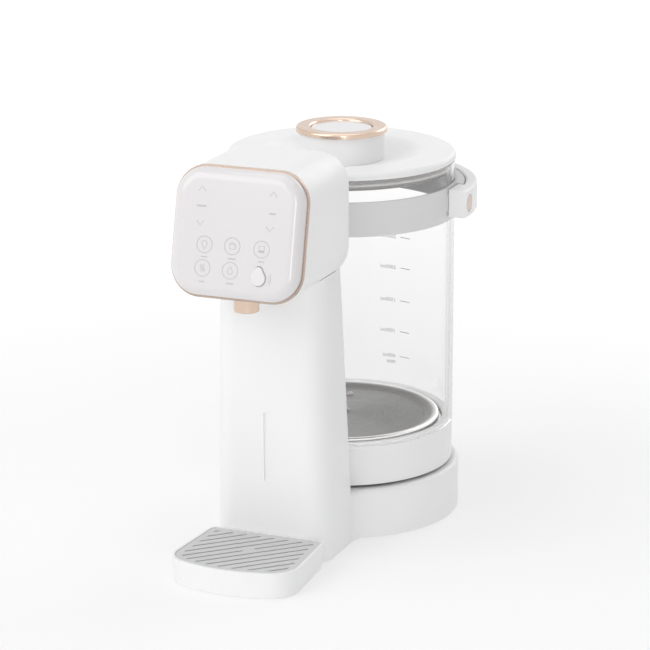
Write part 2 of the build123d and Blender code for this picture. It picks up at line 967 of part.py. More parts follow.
with BuildPart() as board_screws:
    with BuildSketch(face.offset(board_front - board_thickness)):
        with Locations(*board_post_places):
            Circle(screw_head)
    extrude(amount=-screw_head_height)
    with BuildSketch(face.offset(board_front - board_thickness)):
        with Locations(*board_post_places):
            Circle(screw_shank)
    extrude(amount=board_screw_length)
save(board_screws, "board_screws")

display_high = panel_front - panel_wall - seat_gap
with BuildPart() as display_module:
    with BuildSketch(face.offset(board_front)):
        with Locations((0, display_up)):
            Rectangle(display_width, display_height)
    extrude(amount=display_high - board_front)
save(display_module, "display_module")

# Dispense button with its switch and return spring
button_back = panel_front - panel_wall - running_gap
with BuildPart() as dispense_button:
    extrude(drop_outline(button_back, 0), amount=panel_front + button_proud - button_back)
    fillet(dispense_button.faces().sort_by(Axis(face.origin, face.z_dir))[-1].edges(), button_edge)
    flange_back = button_back - button_flange_thickness
    extrude(drop_outline(flange_back, button_flange), amount=button_flange_thickness)
    with BuildSketch(face.offset(board_front + switch_height + button_travel + running_gap)):
        with Locations((button_x, button_y)):
            Circle(button_stem)
    extrude(amount=button_back - board_front - switch_height - button_travel - running_gap)
save(dispense_button, "dispense_button")

with BuildPart() as button_switch:
    with BuildSketch(face.offset(board_front)):
        with Locations((button_x, button_y)):
            Rectangle(switch_width, switch_width)
    extrude(amount=switch_case_height)
    with BuildSketch(face.offset(board_front)):
        with Locations((button_x, button_y)):
            Circle(button_stem)
    extrude(amount=switch_height)
save(button_switch, "button_switch")

button_spring_high = button_back - button_flange_thickness - button_spring_wire - spring_gap
button_spring_low = board_front + button_spring_wire + spring_gap
with BuildPart() as button_spring:
    add(
        coil(
            button_spring_radius,
            button_spring_wire,
            button_spring_low,
            button_spring_high - button_spring_low,
            4,
            Plane(
                origin=face.from_local_coords((button_x, button_y, 0)),
                x_dir=face.x_dir,
                z_dir=face.z_dir,
            ),
        )
    )
save(button_spring, "button_spring")

# Spout through the underside of the head
spout_axis = Axis((0, spout_y, 0), (0, 0, 1))
spout_seat = head_low + head_wall
barb_top = spout_seat + spout_barb_length
with BuildPart() as spout:
    add(
        turned(
            [
                (barb_bore, spout_low + spout_recess),
                (spout_radius - spout_lip, spout_low + spout_recess),
                (spout_radius - spout_lip, spout_low),
                (spout_radius, spout_low),
                (spout_radius, spout_seat + seat_gap),
                (spout_flange, spout_seat + seat_gap),
                (spout_flange, spout_seat + seat_gap + spout_flange_thickness),
                (barb_radius, spout_seat + seat_gap + spout_flange_thickness),
                (barb_radius, barb_top),
                (barb_bore, barb_top),
            ],
            spout_axis,
        )
    )
    lower_rim = spout.edges().filter_by(GeomType.CIRCLE).group_by(Axis.Z)[0].sort_by(SortBy.RADIUS)[-1]
    fillet(lower_rim, spout_edge)
save(spout, "spout")

# Pump
with BuildPart() as pump_head:
    with BuildSketch(Plane.XY.offset(pump_low)):
        with Locations((pump_x, pump_y)):
            Circle(pump_radius)
    extrude(amount=pump_high - pump_low)
    with BuildSketch(Plane.XY.offset(pump_low - pump_barb_length)):
        with Locations((pump_x, pump_y)):
            Circle(barb_radius)
    extrude(amount=pump_barb_length)
    with BuildSketch(Plane.YZ.offset(pump_x)):
        with Locations((pump_y, outlet_z)):
            Circle(barb_radius)
    extrude(amount=pump_radius + pump_barb_length)
    with BuildSketch(Plane.YZ.offset(pump_x)):
        with Locations((pump_y, outlet_z)):
            Circle(barb_bore)
    extrude(amount=pump_radius + pump_barb_length, mode=Mode.SUBTRACT)
    with BuildSketch(Plane.XY.offset(pump_low - pump_barb_length)):
        with Locations((pump_x, pump_y)):
            Circle(barb_bore)
    extrude(amount=outlet_z - pump_low + pump_barb_length, mode=Mode.SUBTRACT)
save(pump_head, "pump_head")

with BuildPart() as pump_motor:
    with BuildSketch(Plane.XY.offset(pump_high)):
        with Locations((pump_x, pump_y)):
            Circle(motor_radius)
    extrude(amount=motor_high - pump_high)
    fillet(pump_motor.faces().sort_by(Axis.Z)[-1].edges(), motor_round)
    with BuildSketch(Plane.XY.offset(motor_high)):
        with Locations((pump_x, pump_y)):
            Circle(motor_boss)
    extrude(amount=motor_boss_height)
save(pump_motor, "pump_motor")

# Water nozzle in the well, with its O-ring
nozzle_flange = well_floor + nozzle_flange_thickness
groove_high = nozzle_top - groove_top
groove_low = groove_high - 2 * o_ring_wire - seat_gap
groove_radius = nozzle_radius - o_ring_wire + seat_gap
with BuildPart() as water_nozzle:
    add(
        turned(
            [
                (0, inlet_z - hose_radius),
                (nozzle_stem, inlet_z - hose_radius),
                (nozzle_stem, well_floor),
                (valve_radius, well_floor),
                (valve_radius, nozzle_flange),
                (nozzle_radius, nozzle_flange),
                (nozzle_radius, groove_low),
                (groove_radius, groove_low),
                (groove_radius, groove_high),
                (nozzle_radius, groove_high),
                (nozzle_radius, nozzle_top),
                (0, nozzle_top),
            ],
            valve_axis,
        )
    )
    with BuildSketch(Plane.XZ.offset(-valve_y)):
        with Locations((0, inlet_z)):
            Circle(barb_radius)
    extrude(amount=nozzle_stem + nozzle_barb_length)
    with BuildSketch(Plane.XZ.offset(-valve_y)):
        with Locations((0, inlet_z)):
            Circle(barb_bore)
    extrude(amount=nozzle_stem + nozzle_barb_length, mode=Mode.SUBTRACT)
    with BuildSketch(Plane.XY.offset(inlet_z)):
        with Locations((0, valve_y)):
            Circle(nozzle_bore)
    extrude(amount=nozzle_top, mode=Mode.SUBTRACT)
save(water_nozzle, "water_nozzle")

with BuildPart() as nozzle_o_ring:
    with BuildSketch(Plane.XZ.offset(-valve_y)):
        with Locations((nozzle_radius + o_ring_squeeze, (groove_low + groove_high) / 2)):
            Circle(o_ring_wire)
    revolve(axis=valve_axis)
save(nozzle_o_ring, "nozzle_o_ring")

# Hoses
with BuildPart() as inlet_hose:
    add(
        hose(
            [
                (0, valve_y - nozzle_stem - hose_end_gap, inlet_z),
                (0, valve_y - nozzle_stem - inlet_lead, inlet_z),
                (pump_x, pump_y, inlet_z),
                (pump_x, pump_y, pump_low - hose_end_gap),
            ],
            [inlet_bend, pump_bend],
        )
    )
save(inlet_hose, "inlet_hose")

with BuildPart() as riser_hose:
    add(
        hose(
            [
                (pump_x + pump_radius + hose_end_gap, pump_y, outlet_z),
                (riser_x, pump_y, outlet_z),
                (riser_x, jug_y - riser_reach, riser_top),
                (0, spout_y, spout_hose_top),
                (0, spout_y, spout_seat + spout_flange_thickness + hose_end_gap),
            ],
            [outlet_bend, riser_bend, spout_bend],
        )
    )
save(riser_hose, "riser_hose")

# Power parts in the base
with BuildPart() as power_socket:
    add(
        turned(
            [
                (0, socket_low),
                (socket_stem, socket_low),
                (socket_stem, well_floor),
                (socket_flange, well_floor),
                (socket_flange, well_floor + socket_flange_thickness),
                (socket_radius, well_floor + socket_flange_thickness),
                (socket_radius, socket_top - socket_flange_thickness),
                (socket_radius - socket_flange_thickness, socket_top),
                (socket_bore, socket_top),
                (socket_bore, socket_bore_low),
                (0, socket_bore_low),
            ],
            jug_axis,
        )
    )
save(power_socket, "power_socket")

with BuildPart() as power_board:
    with BuildSketch(Plane.XY.offset(power_board_low)):
        with Locations((0, power_board_y)):
            Rectangle(power_board_width, power_board_depth)
        with Locations(*power_board_places):
            Circle(screw_shank + seat_gap, mode=Mode.SUBTRACT)
    extrude(amount=board_thickness)
    with BuildSketch(Plane.XY.offset(power_board_low + board_thickness)):
        with Locations((8.0, power_board_y - 4.0)):
            Rectangle(transformer_width, transformer_depth)
    extrude(amount=transformer_height)
    with BuildSketch(Plane.XY.offset(power_board_low + board_thickness)):
        with Locations((-20.0, power_board_y + 4.0)):
            Circle(capacitor_radius)
        with Locations((-4.0, power_board_y + 14.0)):
            Rectangle(relay_width, relay_depth)
    extrude(amount=capacitor_height)
save(power_board, "power_board")

with BuildPart() as power_board_screws:
    with BuildSketch(Plane.XY.offset(power_board_low + board_thickness)):
        with Locations(*power_board_places):
            Circle(screw_head)
    extrude(amount=screw_head_height)
    with BuildSketch(Plane.XY.offset(power_board_low + board_thickness)):
        with Locations(*power_board_places):
            Circle(screw_shank)
    extrude(amount=-(power_board_low + board_thickness - cover_top - seat_gap))
save(power_board_screws, "power_board_screws")

# Drip tray and its grille
tray_back = jug_y - column_front_low - running_gap
tray_under = cover_top + running_gap
grille_low = tray_high - grille_drop - grille_thickness
ledge = grille_low - running_gap
with BuildPart() as drip_tray:
    extrude(tray_plan(tray_high, 0), amount=-(tray_high - tray_low), taper=tray_draft)
    extrude(tray_plan(tray_high, tray_rim), amount=-(tray_high - ledge), mode=Mode.SUBTRACT)
    extrude(
        tray_plan(ledge, tray_rim + tray_ledge),
        amount=-(ledge - tray_under - tray_floor),
        taper=tray_draft,
        mode=Mode.SUBTRACT,
    )
    extrude(
        tray_plan(tray_under, tray_wall + tray_skirt),
        amount=-(tray_under - tray_low),
        mode=Mode.SUBTRACT,
    )
    with Locations((0, tray_back, tray_low)):
        Box(
            2 * (tongue_half + running_gap),
            4 * tray_wall,
            tray_under - tray_low,
            align=(Align.CENTER, Align.CENTER, Align.MIN),
            mode=Mode.SUBTRACT,
        )
save(drip_tray, "drip_tray")

grille_y = jug_y - grille_boss_reach
slots_each_side = round((tray_half + tray_depth / 2) * cos(radians(grille_slant)) / grille_pitch)
with BuildPart() as drip_grille:
    extrude(tray_plan(grille_low, tray_rim + running_gap), amount=grille_thickness)
    with BuildSketch(Plane.XY.offset(grille_low)) as slots:
        with Locations(Location((0, grille_y, 0), (0, 0, -grille_slant))):
            with GridLocations(grille_pitch, 1, 2 * slots_each_side + 1, 1):
                Rectangle(grille_slot, 4 * tray_half)
        add(tray_plan(grille_low, tray_rim + running_gap + grille_border), mode=Mode.INTERSECT)
        with Locations((0, grille_y)):
            Circle(grille_boss, mode=Mode.SUBTRACT)
    extrude(amount=grille_thickness, mode=Mode.SUBTRACT)
save(drip_grille, "drip_grille")

# Jug: base ring, glass, collar
spigot_flange = ring_low + jug_cover_gap
lip_low = plate_rim + seal_height
with BuildPart() as jug_ring:
    add(
        turned(
            [
                (ring_radius, ring_low),
                (ring_radius, ring_ledge),
                (glass_inside - ring_gap, ring_ledge),
                (glass_inside - ring_gap, ring_crest - 1.0),
                (glass_inside - ring_gap - 0.3, ring_crest - 0.3),
                (glass_inside - ring_gap - 1.0, ring_crest),
                (pan_radius + lip_gap + 1.0, lip_top + 0.2),
                (pan_radius + lip_gap, lip_top - 0.5),
                (pan_radius + lip_gap, lip_low),
                (plate_radius + running_gap, lip_low),
                (ring_radius - ring_wall, lip_low - 4.0),
                (ring_radius - ring_wall, ring_low),
            ],
            jug_axis,
        )
    )
    # bosses for the screws of the bottom cover
    with BuildSketch(Plane.XY.offset(spigot_flange + jug_cover_rim)):
        with Locations(*jug_screw_places):
            Circle(jug_boss_radius)
            Circle(screw_hole, mode=Mode.SUBTRACT)
    extrude(amount=jug_boss_height)
save(jug_ring, "jug_ring")

with BuildPart() as jug_glass:
    glass_low = ring_ledge + seat_gap
    add(
        turned(
            [
                (glass_radius - glass_wall, glass_low),
                (glass_radius, glass_low),
                (glass_radius, glass_top),
                (glass_radius - glass_wall, glass_top),
            ],
            jug_axis,
        )
    )
    fillet(jug_glass.faces().sort_by(Axis.Z)[-1].edges(), glass_edge)
save(jug_glass, "jug_glass")

collar_inner = glass_radius + collar_gap
stub_root = lug_inner - running_gap
with BuildPart() as collar:
    add(
        turned(
            [
                (collar_inner, collar_low),
                (collar_radius, collar_low),
                (collar_radius, collar_high),
                (collar_inner, collar_high),
            ],
            jug_axis,
        )
    )
    for side in (-1, 1):
        pivot_plane = Plane(origin=(0, pivot_y, pivot_z), x_dir=(0, 1, 0), z_dir=(side, 0, 0))
        with BuildSketch(pivot_plane.offset(collar_inner - bail_gap)):
            Circle(pivot_pad)
        extrude(amount=stub_root - collar_inner + bail_gap)
        with BuildSketch(pivot_plane.offset(stub_root)):
            Circle(stub_radius)
        extrude(amount=stub_end - stub_root)
    # ledges beside the folded bail, inside the sphere that its inner edge sweeps
    with BuildSketch(Plane.XY.offset(shelf_high - shelf_thickness)):
        with Locations((0, pivot_y)):
            Circle(shelf_radius)
        with Locations((0, pivot_y + (shelf_front + shelf_back) / 2)):
            Rectangle(2 * shelf_radius, shelf_back - shelf_front, mode=Mode.INTERSECT)
    extrude(amount=shelf_thickness)
    with BuildSketch(Plane.XY.offset(collar_low - pivot_pad)):
        with Locations((0, jug_y)):
            Circle(collar_inner)
    extrude(amount=collar_height + 2 * pivot_pad, mode=Mode.SUBTRACT)
    for side in (-1, 1):
        pivot_plane = Plane(origin=(0, pivot_y, pivot_z), x_dir=(0, 1, 0), z_dir=(side, 0, 0))
        with BuildSketch(pivot_plane.offset(stub_root)):
            Circle(screw_hole)
        extrude(amount=stub_end - stub_root, mode=Mode.SUBTRACT)
save(collar, "collar")

with BuildPart() as pivot_screws:
    for side in (-1, 1):
        pivot_plane = Plane(origin=(0, pivot_y, pivot_z), x_dir=(0, 1, 0), z_dir=(side, 0, 0))
        with BuildSketch(pivot_plane.offset(stub_end)):
            Circle(cap_radius - 2 * seat_gap - running_gap)
        extrude(amount=pivot_screw_head_height)
        with BuildSketch(pivot_plane.offset(stub_root + seat_gap)):
            Circle(screw_shank)
        extrude(amount=stub_end - stub_root - seat_gap)
save(pivot_screws, "pivot_screws")

# Bail handle, folded back
with BuildPart() as bail_handle:
    bail_low = pivot_z - bail_half_height
    with BuildSketch(Plane.XY.offset(bail_low)):
        with Locations((0, pivot_y)):
            Circle(bail_radius)
            Circle(bail_inner, mode=Mode.SUBTRACT)
        with Locations((0, pivot_y - bail_radius)):
            Rectangle(2 * bail_radius, 2 * bail_radius, mode=Mode.SUBTRACT)
        lug_width = bail_radius - lug_inner
        for side in (-1, 1):
            with Locations((side * (lug_inner + lug_width / 2), pivot_y - lug_front / 2)):
                Rectangle(lug_width, lug_front)
            with Locations((side * (lug_inner + lug_width / 4), pivot_y + lug_back / 2)):
                Rectangle(lug_width / 2, lug_back)
    extrude(amount=2 * bail_half_height)
    long_edges = bail_handle.edges().filter_by(GeomType.CIRCLE).filter_by(
        lambda edge: edge.radius > bail_inner - 1
    )
    fillet(long_edges, bail_round)
    for side in (-1, 1):
        pivot_plane = Plane(origin=(0, pivot_y, pivot_z), x_dir=(0, 1, 0), z_dir=(side, 0, 0))
        with BuildSketch(pivot_plane.offset(lug_inner - 1)):
            Circle(stub_radius + bearing_gap)
        extrude(amount=bail_radius, mode=Mode.SUBTRACT)
        with BuildSketch(pivot_plane.offset(stub_end - running_gap)):
            Circle(cap_radius + seat_gap)
        extrude(amount=bail_radius, mode=Mode.SUBTRACT)
save(bail_handle, "bail_handle")

with BuildPart() as pivot_caps:
    for side in (-1, 1):
        pivot_plane = Plane(origin=(0, pivot_y, pivot_z), x_dir=(0, 1, 0), z_dir=(side, 0, 0))
        with BuildSketch(pivot_plane.offset(bail_radius - cap_recess - cap_thickness)):
            Circle(cap_radius)
        extrude(amount=cap_thickness)
    fillet(pivot_caps.faces().sort_by(Axis.X)[-1].edges(), cap_edge)
    fillet(pivot_caps.faces().sort_by(Axis.X)[0].edges(), cap_edge)
save(pivot_caps, "pivot_caps")

# Foot of the jug
connector_inner = socket_radius + connector_gap
connector_outer = connector_inner + connector_wall
cover_inside = spigot_low + jug_cover_thickness
spigot = well_radius - spigot_gap
with BuildPart() as jug_bottom_cover:
    add(
        turned(
            [
                (0, spigot_low),
                (spigot - 0.8, spigot_low),
                (spigot, spigot_low + 0.8),
                (spigot, spigot_flange),
                (ring_radius - ring_wall - seat_gap, spigot_flange),
                (ring_radius - ring_wall - seat_gap, spigot_flange + jug_cover_rim),
                (spigot - ring_wall, spigot_flange + jug_cover_rim),
                (spigot - ring_wall, cover_inside),
                (0, cover_inside),
            ],
            jug_axis,
        )
    )
    with BuildSketch(Plane.XY.offset(spigot_low)):
        with Locations((0, jug_y)):
            Circle(connector_outer + running_gap)
        with Locations((0, valve_y)):
            Circle(valve_radius + running_gap)
        with Locations(*jug_screw_places):
            Circle(screw_shank + seat_gap)
    extrude(amount=spigot_flange + jug_cover_rim - spigot_low, mode=Mode.SUBTRACT)
save(jug_bottom_cover, "jug_bottom_cover")

with BuildPart() as jug_screws:
    with BuildSketch(Plane.XY.offset(spigot_flange)):
        with Locations(*jug_screw_places):
            Circle(jug_screw_head)
    extrude(amount=-jug_screw_head_height)
    with BuildSketch(Plane.XY.offset(spigot_flange)):
        with Locations(*jug_screw_places):
            Circle(screw_shank)
    extrude(amount=jug_screw_length)
save(jug_screws, "jug_screws")

plate_under = pan_floor - plate_thickness
pan_top = pan_floor + pan_height
pan_foot = pan_radius - pan_edge - pan_slope
with BuildPart() as heating_plate:
    add(
        turned(
            [
                (0, pan_floor),
                (pan_foot - 1.0, pan_floor),
                (pan_foot + 0.8, pan_floor + 0.5),
                (pan_radius - pan_edge, pan_top - 0.4),
                (pan_radius - 3.4, pan_top),
                (pan_radius - 1.6, pan_top),
                (pan_radius - 0.5, pan_top - 0.5),
                (pan_radius, pan_top - 1.5),
                (pan_radius, plate_rim),
                (plate_radius, plate_rim),
                (plate_radius, plate_rim - plate_thickness),
                (pan_radius - plate_thickness, plate_rim - plate_thickness),
                (pan_radius - plate_thickness, pan_top - 1.7),
                (pan_radius - 1.8, pan_top - plate_thickness),
                (pan_radius - 3.2, pan_top - plate_thickness),
                (pan_radius - 4.2, pan_top - 0.4 - plate_thickness),
                (pan_foot + 1.1, pan_floor + 0.5 - plate_thickness),
                (pan_foot - 0.8, plate_under),
                (0, plate_under),
            ],
            jug_axis,
        )
    )
    with BuildSketch(Plane.XY.offset(plate_under)):
        with Locations((0, valve_y)):
            Circle(plate_hole)
        with Locations(*probe_centres):
            Circle(probe_radius + seat_gap)
    extrude(amount=plate_thickness, mode=Mode.SUBTRACT)
save(heating_plate, "heating_plate")

seal_outer = plate_radius - running_gap
seal_play = seat_gap / 2
with BuildPart() as plate_seal:
    add(
        turned(
            [
                (seal_outer - seal_width, plate_rim + seal_play),
                (seal_outer, plate_rim + seal_play),
                (seal_outer, plate_rim + seal_height - seal_play),
                (seal_outer - seal_width, plate_rim + seal_height - seal_play),
            ],
            jug_axis,
        )
    )
save(plate_seal, "plate_seal")

with BuildPart() as temperature_probe:
    with BuildSketch(Plane.XY.offset(plate_under - probe_depth)):
        with Locations(*probe_centres):
            Circle(probe_radius)
    extrude(amount=probe_depth + plate_thickness + probe_proud)
    fillet(temperature_probe.faces().group_by(Axis.Z)[-1].edges(), probe_radius / 2)
    with BuildSketch(Plane.XY.offset(plate_under)):
        with Locations(*probe_centres):
            Circle(probe_radius + probe_flange)
    extrude(amount=-probe_nut_height)
    with BuildSketch(Plane.XY.offset(pan_floor)):
        with Locations(*probe_centres):
            Circle(probe_radius + probe_flange)
    extrude(amount=probe_flange_thickness)
save(temperature_probe, "temperature_probe")

with BuildPart() as heat_spreader:
    with BuildSketch(Plane.XY.offset(plate_under - spreader_thickness)):
        with Locations((0, jug_y)):
            Circle(spreader_radius)
        with Locations(*probe_centres):
            Circle(probe_radius + 2 * probe_flange, mode=Mode.SUBTRACT)
        with Locations((0, valve_y)):
            Circle(valve_radius + 2 * gasket_lip, mode=Mode.SUBTRACT)
    extrude(amount=spreader_thickness)
save(heat_spreader, "heat_spreader")

element_z = plate_under - spreader_thickness - element_tube
with BuildPart() as heating_element:
    with BuildSketch(Plane(origin=(0, jug_y, element_z), x_dir=(1, 0, 0), z_dir=(0, -1, 0))):
        with Locations((element_ring, 0)):
            Circle(element_tube)
    revolve(axis=jug_axis, revolution_arc=element_arc)
    for turn in (0, element_arc):
        end = (
            element_ring * cos(radians(turn)),
            jug_y + element_ring * sin(radians(turn)),
        )
        with BuildSketch(Plane.XY.offset(element_z)):
            with Locations(end):
                Circle(element_pin)
        extrude(amount=-element_pin_length)
save(heating_element, "heating_element")

connector_low = well_floor + socket_flange_thickness + connector_gap
with BuildPart() as jug_connector:
    add(
        turned(
            [
                (0, connector_roof + connector_top),
                (0, connector_roof - connector_pin_length),
                (connector_pin, connector_roof - connector_pin_length),
                (connector_pin, connector_roof),
                (connector_inner, connector_roof),
                (connector_inner, connector_low),
                (connector_outer, connector_low),
                (connector_outer, cover_inside),
                (connector_outer + connector_flange, cover_inside),
                (connector_outer + connector_flange, cover_inside + connector_top),
                (connector_outer, cover_inside + connector_top),
                (connector_outer, connector_roof + connector_top),
            ],
            jug_axis,
        )
    )
save(jug_connector, "jug_connector")

# Outlet valve of the jug
valve_high = plate_under - gasket_thickness
cage_seat = valve_high - valve_cap_thickness - seat_gap
with BuildPart() as valve_housing:
    add(
        turned(
            [
                (valve_bore, nozzle_flange + running_gap),
                (valve_radius, nozzle_flange + running_gap),
                (valve_radius, cover_inside),
                (valve_radius + valve_flange, cover_inside),
                (valve_radius + valve_flange, cover_inside + valve_flange_thickness),
                (valve_radius, cover_inside + valve_flange_thickness),
                (valve_radius, valve_high),
                (valve_bore + cap_rebate, valve_high),
                (valve_bore + cap_rebate, cage_seat),
                (valve_bore, cage_seat),
                (valve_bore, valve_web + valve_web_thickness),
                (poppet_stem + poppet_play, valve_web + valve_web_thickness),
                (poppet_stem + poppet_play, valve_web),
                (valve_bore, valve_web),
            ],
            valve_axis,
        )
    )
save(valve_housing, "valve_housing")

poppet_low = valve_web + valve_web_thickness + 2 * seat_gap
poppet_high = poppet_low + poppet_thickness
with BuildPart() as valve_poppet:
    add(
        turned(
            [
                (0, nozzle_top + poppet_rise),
                (poppet_stem, nozzle_top + poppet_rise),
                (poppet_stem, poppet_low),
                (poppet_radius, poppet_low),
                (poppet_radius, poppet_high),
                (poppet_stem, poppet_high),
                (poppet_stem, poppet_high + poppet_guide),
                (0, poppet_high + poppet_guide),
            ],
            valve_axis,
        )
    )
save(valve_poppet, "valve_poppet")

with BuildPart() as valve_spring:
    spring_low = poppet_high + valve_spring_wire + spring_gap
    spring_high = cage_seat - valve_spring_wire - spring_gap
    add(
        coil(
            valve_spring_radius,
            valve_spring_wire,
            spring_low,
            spring_high - spring_low,
            5,
            Plane(origin=(0, valve_y, 0)),
        )
    )
save(valve_spring, "valve_spring")

with BuildPart() as valve_cap:
    with BuildSketch(Plane.XY.offset(cage_seat)):
        with Locations((0, valve_y)):
            Circle(valve_bore + cap_rebate - seat_gap)
            with PolarLocations(valve_cap_pitch, 6):
                Circle(valve_cap_hole, mode=Mode.SUBTRACT)
    extrude(amount=valve_cap_thickness)
save(valve_cap, "valve_cap")

with BuildPart() as valve_gasket:
    with BuildSketch(Plane.XY.offset(valve_high)):
        with Locations((0, valve_y)):
            Circle(valve_radius + gasket_lip)
            Circle(plate_hole, mode=Mode.SUBTRACT)
    extrude(amount=plate_under - valve_high)
save(valve_gasket, "valve_gasket")

# Lid
knob_hole = knob_screw_shank + running_gap
with BuildPart() as lid_shell:
    shell_inner = lid_radius - lid_rim_wall
    under_top = lid_high - lid_wall
    under_dish = dish_floor - lid_wall
    add(
        turned(
            [
                (knob_hole, dish_floor),
                (dish_radius - 21.5, dish_floor + 0.4),
                (dish_radius - 11.5, dish_floor + 2.4),
                (dish_radius - 4.0, lid_high),
                (dish_radius, lid_high),
                (lid_radius - lid_round, lid_high),
                (lid_radius - 0.8, lid_high - 0.8),
                (lid_radius, lid_high - lid_round),
                (lid_radius, lid_low),
                (shell_inner, lid_low),
                (shell_inner, under_top),
                (dish_radius + 1.2, under_top),
                (dish_radius - 2.5, under_top + 1.0),
                (dish_radius - 10.5, dish_floor + 0.2),
                (dish_radius - 20.5, under_dish + 0.4),
                (lid_post, under_dish),
                (lid_post, plug_low + plug_wall + seat_gap),
                (knob_hole, plug_low + plug_wall + seat_gap),
            ],
            jug_axis,
        )
    )
save(lid_shell, "lid_shell")

with BuildPart() as lid_plug:
    plug_high = under_top - seat_gap
    add(
        turned(
            [
                (knob_hole, plug_low),
                (plug_radius - 2.0, plug_low),
                (plug_radius - 0.6, plug_low + 0.6),
                (plug_radius, plug_low + 2.0),
                (plug_radius, plug_high),
                (plug_radius - plug_wall, plug_high),
                (plug_radius - plug_wall, plug_low + 2.2),
                (plug_radius - 2.2, plug_low + plug_wall),
                (knob_hole, plug_low + plug_wall),
            ],
            jug_axis,
        )
    )
save(lid_plug, "lid_plug")

with BuildPart() as lid_seal:
    add(
        turned(
            [
                (plug_radius + seal_step, plug_low + 3.0),
                (plug_radius + seal_bead, plug_low + 3.4),
                (plug_radius + seal_bead, plug_low + 4.6),
                (plug_radius + seal_step, plug_low + 5.0),
            ],
            jug_axis,
        )
    )
save(lid_seal, "lid_seal")

knob_low = dish_floor + 2 * knob_gap
knob_bore = knob_screw_shank + seat_gap
with BuildPart() as lid_knob:
    add(
        turned(
            [
                (knob_radius, knob_low),
                (knob_radius, knob_high),
                (knob_bore, knob_high),
                (knob_bore, dish_floor + knob_gap),
                (knob_post, dish_floor + knob_gap),
                (knob_post, knob_high - knob_wall),
                (knob_radius - knob_wall, knob_high - knob_wall),
                (knob_radius - knob_wall, knob_low),
            ],
            jug_axis,
        )
    )
save(lid_knob, "lid_knob")

with BuildPart() as knob_ring:
    add(
        turned(
            [
                (knob_ring_inner, knob_high),
                (knob_ring_outer, knob_high),
                (knob_ring_outer, knob_high + knob_ring_height),
                (knob_ring_inner, knob_high + knob_ring_height),
            ],
            jug_axis,
        )
    )
    fillet(knob_ring.edges().filter_by(GeomType.CIRCLE).group_by(Axis.Z)[-1], knob_ring_round)
save(knob_ring, "knob_ring")

with BuildPart() as knob_disc:
    with BuildSketch(Plane.XY.offset(knob_high)):
        with Locations((0, jug_y)):
            Circle(knob_ring_inner - knob_gap)
    extrude(amount=knob_disc_height)
    fillet(knob_disc.faces().sort_by(Axis.Z)[-1].edges(), knob_disc_round)
save(knob_disc, "knob_disc")

with BuildPart() as knob_screw:
    add(
        turned(
            [
                (0, plug_low - knob_screw_head_height),
                (knob_screw_head, plug_low - knob_screw_head_height),
                (knob_screw_head, plug_low),
                (knob_screw_shank, plug_low),
                (knob_screw_shank, knob_high - knob_wall),
                (0, knob_high - knob_wall),
            ],
            jug_axis,
        )
    )
save(knob_screw, "knob_screw")
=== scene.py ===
from math import cos, pi, radians, sin

import bmesh
import bpy
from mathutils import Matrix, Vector


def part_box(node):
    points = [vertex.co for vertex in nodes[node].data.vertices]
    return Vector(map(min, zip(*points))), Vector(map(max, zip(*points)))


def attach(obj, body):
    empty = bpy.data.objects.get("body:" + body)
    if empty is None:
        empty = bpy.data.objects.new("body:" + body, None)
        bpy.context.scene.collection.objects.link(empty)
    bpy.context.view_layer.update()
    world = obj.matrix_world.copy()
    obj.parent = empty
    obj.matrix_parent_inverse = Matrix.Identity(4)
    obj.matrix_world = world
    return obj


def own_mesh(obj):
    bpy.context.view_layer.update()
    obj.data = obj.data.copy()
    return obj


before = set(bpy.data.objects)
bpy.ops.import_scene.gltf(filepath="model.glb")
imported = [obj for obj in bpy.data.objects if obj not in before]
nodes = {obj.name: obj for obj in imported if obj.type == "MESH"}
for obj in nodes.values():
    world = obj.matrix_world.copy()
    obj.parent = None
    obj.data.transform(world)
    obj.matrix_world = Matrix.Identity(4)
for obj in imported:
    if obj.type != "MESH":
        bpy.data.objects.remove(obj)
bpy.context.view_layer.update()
MM = 0.001

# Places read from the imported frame
glass_low, glass_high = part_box("jug_glass")
jug_y = (glass_low.y + glass_high.y) / 2
glass_radius = (glass_high.x - glass_low.x) / 2
head_low, head_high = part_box("head_shell")

# Face of the touch panel
face_tilt = radians(12.5)
face_reach = 182.6 * MM
panel_front = 9.5 * MM
face_center = Vector((0, jug_y - face_reach, (head_low.z + head_high.z) / 2))
face_normal = Vector((0, -cos(face_tilt), sin(face_tilt)))
face_up = Vector((0, sin(face_tilt), cos(face_tilt)))

# Distances from the jug's axis where the heating plate's floor ends and its rim, painted brighter as a
# painted highlight, begins
pan_floor_reach = 66 * MM
pan_crest_reach = 70.5 * MM

# Printing stands proud of the panel and of the glass by this much
print_height = 0.05 * MM
print_gap = 0.02 * MM

# Camera, fitted to the photograph
camera_place = (0.7783, -1.9446 + jug_y, 0.7305)
camera_drop = 15.87
camera_turn = 22.14
camera_data = bpy.data.cameras.new("camera")
camera_data.lens = 164.45
camera_data.sensor_width = 36
camera = bpy.data.objects.new("camera", camera_data)
camera.location = camera_place
camera.rotation_euler = (radians(90 - camera_drop), 0, radians(camera_turn))
bpy.context.scene.collection.objects.link(camera)
bpy.context.scene.camera = camera


# Materials
def new_material(name):
    material = bpy.data.materials.new(name)
    material.use_nodes = True
    tree = material.node_tree
    return material, tree, tree.nodes["Principled BSDF"]


def add_node(tree, kind, constants=None, **settings):
    """Node of this kind, with its settings and then the constants of its inputs."""
    node = tree.nodes.new(kind)
    for name, value in settings.items():
        setattr(node, name, value)
    for name, value in (constants or {}).items():
        node.inputs[name].default_value = value
    return node


def noise(tree, scale, detail):
    place = add_node(tree, "ShaderNodeTexCoord")
    texture = add_node(tree, "ShaderNodeTexNoise", {"Scale": scale, "Detail": detail})
    tree.links.new(place.outputs["Object"], texture.inputs["Vector"])
    return texture.outputs["Fac"]


